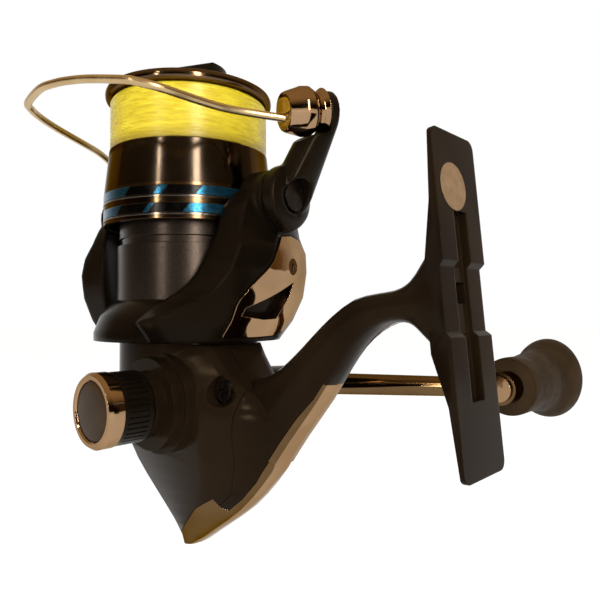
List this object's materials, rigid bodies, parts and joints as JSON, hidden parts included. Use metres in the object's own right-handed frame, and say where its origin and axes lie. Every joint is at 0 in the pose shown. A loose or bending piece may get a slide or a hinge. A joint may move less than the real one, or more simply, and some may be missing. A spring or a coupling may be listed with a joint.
{
  "type": "spinning reel",
  "caption": "Fixed-spool spinning reel with a wire bail, turning rotor, crank with knob, front drag and a foot that clamps in a rod's reel seat.",
  "frame": {"origin": "middle of the upper pad of the foot's rod face, on the plane that rests in the reel seat", "axes": "+Z along the spool axis toward the rod tip, +X from the spool axis toward the rod, +Y toward the crank"},
  "size_m": [0.1099, 0.1261, 0.118],
  "materials": {
    "black_lacquer": "satin gloss black lacquer",
    "black_plastic": "smooth moulded black",
    "dark_plastic": "matt moulded dark grey",
    "dark_disc": "dark metallic disc",
    "warm_chrome": "bright plated",
    "steel": "fine ground",
    "dark_steel": "blackened",
    "gear_brass": "machined",
    "gunmetal": "dark anodised",
    "blue_band": "metallic blue",
    "knob_rubber": "soft matt",
    "fishing_line": "clear bright monofilament"
  },
  "bodies": {
    "body": {"body_frame": "black_lacquer", "side_cover": "black_lacquer", "rear_guard": "warm_chrome", "body_screws": "steel", "crank_bearings": "steel", "clutch_housing_bearing": "steel", "roller_clutch": "dark_plastic", "clutch_cover": "steel", "clutch_screws": "steel", "guide_rod": "steel"},
    "reverse_lever": {"anti_reverse_lever": "dark_plastic"},
    "crank": {"drive_gear": "gear_brass", "screw_cap": "black_lacquer", "cap_ring": "warm_chrome", "cap_dome": "dark_disc", "crank_hub": "black_lacquer", "crank_pin": "steel", "crank_arm": "warm_chrome", "knob_post": "steel"},
    "knob": {"crank_knob": "knob_rubber", "knob_end_cap": "dark_plastic"},
    "oscillator": {"oscillation_gear": "dark_plastic"},
    "shaft": {"main_shaft": "steel", "oscillation_slider": "gear_brass", "slider_screw": "steel", "spool_seat_washer": "steel"},
    "spool_body": {"spool": "gunmetal", "spool_lip": "gunmetal", "skirt_bands": "blue_band", "skirt_trim_rings": "warm_chrome", "drag_washers": "dark_plastic", "drag_retainer": "steel", "line_core": "fishing_line", "line_winding": "fishing_line"},
    "drag": {"drag_knob": "black_plastic", "drag_spring": "steel", "drag_nut": "gear_brass"},
    "rotor_body": {"rotor": "black_lacquer", "pinion_gear": "gear_brass", "rotor_nut": "steel", "arm_covers": "warm_chrome", "cover_screws": "steel", "bail_spring": "steel", "pivot_screws": "dark_steel"},
    "bail": {"bail_arm": "black_plastic", "bail_lever": "black_plastic", "bail_wire": "warm_chrome", "roller_cone": "warm_chrome", "roller_pin": "steel"},
    "roller": {"line_roller": "warm_chrome"}
  },
  "joints": [
    {"name": "crank_turn", "type": "hinge", "parent": "body", "child": "crank", "pos_m": [-0.06708, 0, -0.04449], "axis": [0, 1, 0], "continuous": true},
    {"name": "knob_spin", "type": "hinge", "parent": "crank", "child": "knob", "pos_m": [-0.0137, 0.06, -0.04281], "axis": [0, 1, 0], "continuous": true},
    {"name": "rotor_turn", "type": "hinge", "parent": "body", "child": "rotor_body", "pos_m": [-0.07408, 0, -0.02189], "axis": [0, 0, 1], "continuous": true},
    {"name": "bail_flip", "type": "hinge", "parent": "rotor_body", "child": "bail", "pos_m": [-0.07408, 0, 0.00191], "axis": [-0.9945, -0.1045, 0], "range_deg": [0, 100]},
    {"name": "roller_spin", "type": "hinge", "parent": "bail", "child": "roller", "pos_m": [-0.0374, 0.00697, 0.02101], "axis": [-0.3964, -0.9041, -0.1596], "continuous": true},
    {"name": "shaft_stroke", "type": "slide", "parent": "body", "child": "shaft", "axis": [0, 0, 1], "range_m": [-0.007, 0.0035]},
    {"name": "spool_slip", "type": "hinge", "parent": "shaft", "child": "spool_body", "pos_m": [-0.07408, 0, 0.01811], "axis": [0, 0, 1], "continuous": true},
    {"name": "drag_turn", "type": "hinge", "parent": "shaft", "child": "drag", "pos_m": [-0.07408, 0, 0.02811], "axis": [0, 0, 1], "range_deg": [-720, 720]},
    {"name": "oscillation_turn", "type": "hinge", "parent": "body", "child": "oscillator", "pos_m": [-0.07008, 0, -0.05804], "axis": [0, 1, 0], "continuous": true},
    {"name": "reverse_lever_turn", "type": "hinge", "parent": "body", "child": "reverse_lever", "pos_m": [-0.09088, 0.0026, -0.03569], "axis": [1, 0, 0], "range_deg": [0, 25]}
  ],
  "couplings": [
    {"joint": "rotor_turn", "follows": "crank_turn", "ratio": -5},
    {"joint": "oscillation_turn", "follows": "crank_turn", "ratio": -0.5}
  ]
}
